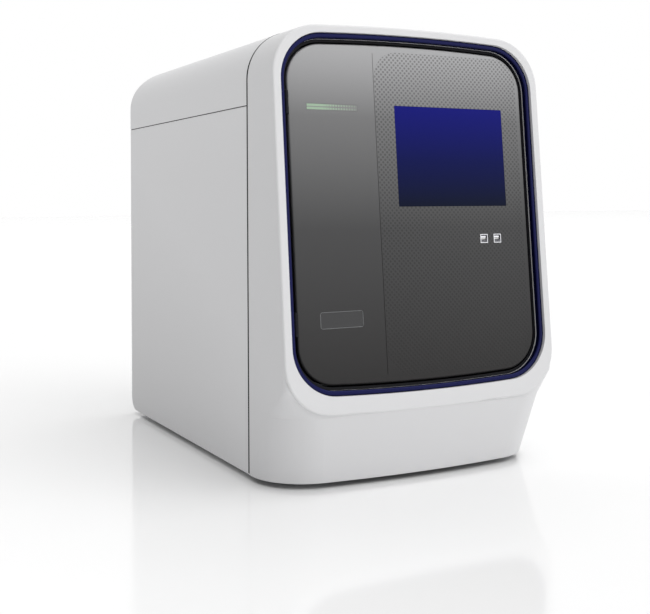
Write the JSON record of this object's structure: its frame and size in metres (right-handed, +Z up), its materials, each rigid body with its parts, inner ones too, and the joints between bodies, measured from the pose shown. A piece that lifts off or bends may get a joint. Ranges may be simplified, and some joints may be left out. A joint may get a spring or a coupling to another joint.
{
  "type": "real-time pcr system",
  "caption": "Bench real-time PCR instrument: white rounded cabinet, leaning dark door with touchscreen, side plate tray, sample block, heated cover and filter-wheel optics",
  "frame": {"origin": "centre of the footprint on the surface the feet stand on", "axes": "+Z up, -Y towards the user (front with the door), +X to the right seen from the front"},
  "size_m": [0.444, 0.682, 0.64],
  "materials": {
    "cover_white": "light grey-white satin moulding",
    "hood_white": "white satin moulding",
    "navy_trim": "dark blue metallic lacquer",
    "black_plastic": "black fine-grained moulding",
    "door_graphite": "dark grey metallic, lighter towards the top",
    "screen_glass": "dark glass, blue when lit",
    "light_green": "green light bar behind fine perforations",
    "badge_black": "black plate, left bare",
    "port_metal": "bright plated",
    "zinc_steel": "zinc-plated sheet",
    "bulkhead_grey": "grey powder coat",
    "bright_steel": "bright steel",
    "aluminium": "machined",
    "holder_white": "pale moulding",
    "ceramic_white": "white ceramic tiles",
    "optics_black": "matt black anodised",
    "lens_glass": "clear coated glass",
    "mirror_glass": "front-surface mirror",
    "board_green": "solder-masked board",
    "standoff_brass": "turned brass",
    "rubber_black": "black rubber"
  },
  "bodies": {
    "cabinet": {"left_side_cover": "cover_white", "right_side_cover": "cover_white", "top_cover": "cover_white", "front_hood": "hood_white", "trim_ring": "navy_trim", "jamb_liner": "black_plastic", "hinge_brackets": "black_plastic", "hinge_pins": "black_plastic", "rocker_frame": "black_plastic", "power_inlet": "black_plastic", "fan_housings": "black_plastic", "block_shroud": "black_plastic", "data_ports": "port_metal", "base_pan": "zinc_steel", "left_frame": "zinc_steel", "right_frame": "zinc_steel", "deck_plate": "zinc_steel", "rear_panel": "zinc_steel", "connector_plate": "zinc_steel", "power_supply": "zinc_steel", "block_rails": "zinc_steel", "front_bulkhead": "bulkhead_grey", "optics_shelf": "bulkhead_grey", "cover_screws": "bright_steel", "fan_guards": "bright_steel", "cover_posts": "bright_steel", "heat_sink": "aluminium", "sample_block": "aluminium", "tray_guides": "aluminium", "thermoelectric_modules": "ceramic_white", "optics_housing": "optics_black", "lamp_module": "optics_black", "camera_module": "optics_black", "wheel_motors": "optics_black", "door_latch": "optics_black", "field_lens": "lens_glass", "fold_mirror": "mirror_glass", "control_board": "board_green", "board_standoffs": "standoff_brass", "rubber_feet": "rubber_black", "door_gasket": "rubber_black"},
    "door": {"door_panel": "door_graphite", "door_liner": "black_plastic", "hinge_leaves": "black_plastic", "touchscreen_glass": "screen_glass", "display_module": "black_plastic", "front_usb_ports": "port_metal", "status_light": "light_green", "badge_plate": "badge_black", "door_striker": "bright_steel"},
    "latch_plunger": {"latch_plunger": "bright_steel"},
    "plate_tray": {"tray_frame": "aluminium", "plate_holder": "holder_white", "tray_hatch": "cover_white"},
    "heated_lid": {"heated_cover": "aluminium"},
    "power_key": {"power_rocker": "black_plastic"},
    "left_rotor": {"left_fan_rotor": "black_plastic"},
    "right_rotor": {"right_fan_rotor": "black_plastic"},
    "emission_wheel": {"emission_filter_wheel": "aluminium"},
    "excitation_wheel": {"excitation_filter_wheel": "aluminium"}
  },
  "joints": [
    {"name": "door_hinge", "type": "hinge", "parent": "cabinet", "child": "door", "pos_m": [-0.19935, -0.30893, 0.3778], "axis": [0, -0.0879, -0.9961], "range_deg": [0, 95]},
    {"name": "latch_plunge", "type": "slide", "parent": "cabinet", "child": "latch_plunger", "axis": [0, 0.9961, -0.0879], "range_m": [0, 0.004], "stiffness_N_per_m": 400},
    {"name": "tray_slide", "type": "slide", "parent": "cabinet", "child": "plate_tray", "axis": [1, 0, 0], "range_m": [0, 0.285]},
    {"name": "lid_press", "type": "slide", "parent": "cabinet", "child": "heated_lid", "axis": [0, 0, -1], "range_m": [0, 0.022]},
    {"name": "power_switch", "type": "hinge", "parent": "cabinet", "child": "power_key", "pos_m": [0.112, 0.3305, 0.06], "axis": [-1, 0, 0], "range_deg": [0, 12]},
    {"name": "left_fan_spin", "type": "hinge", "parent": "cabinet", "child": "left_rotor", "pos_m": [-0.09, 0.32, 0.43], "axis": [0, 1, 0], "continuous": true},
    {"name": "right_fan_spin", "type": "hinge", "parent": "cabinet", "child": "right_rotor", "pos_m": [0.09, 0.32, 0.43], "axis": [0, 1, 0], "continuous": true},
    {"name": "emission_wheel_spin", "type": "hinge", "parent": "cabinet", "child": "emission_wheel", "pos_m": [-0.075, -0.0525, 0.418], "axis": [0, 1, 0], "continuous": true},
    {"name": "excitation_wheel_spin", "type": "hinge", "parent": "cabinet", "child": "excitation_wheel", "pos_m": [0.075, -0.0525, 0.418], "axis": [0, 1, 0], "continuous": true}
  ]
}
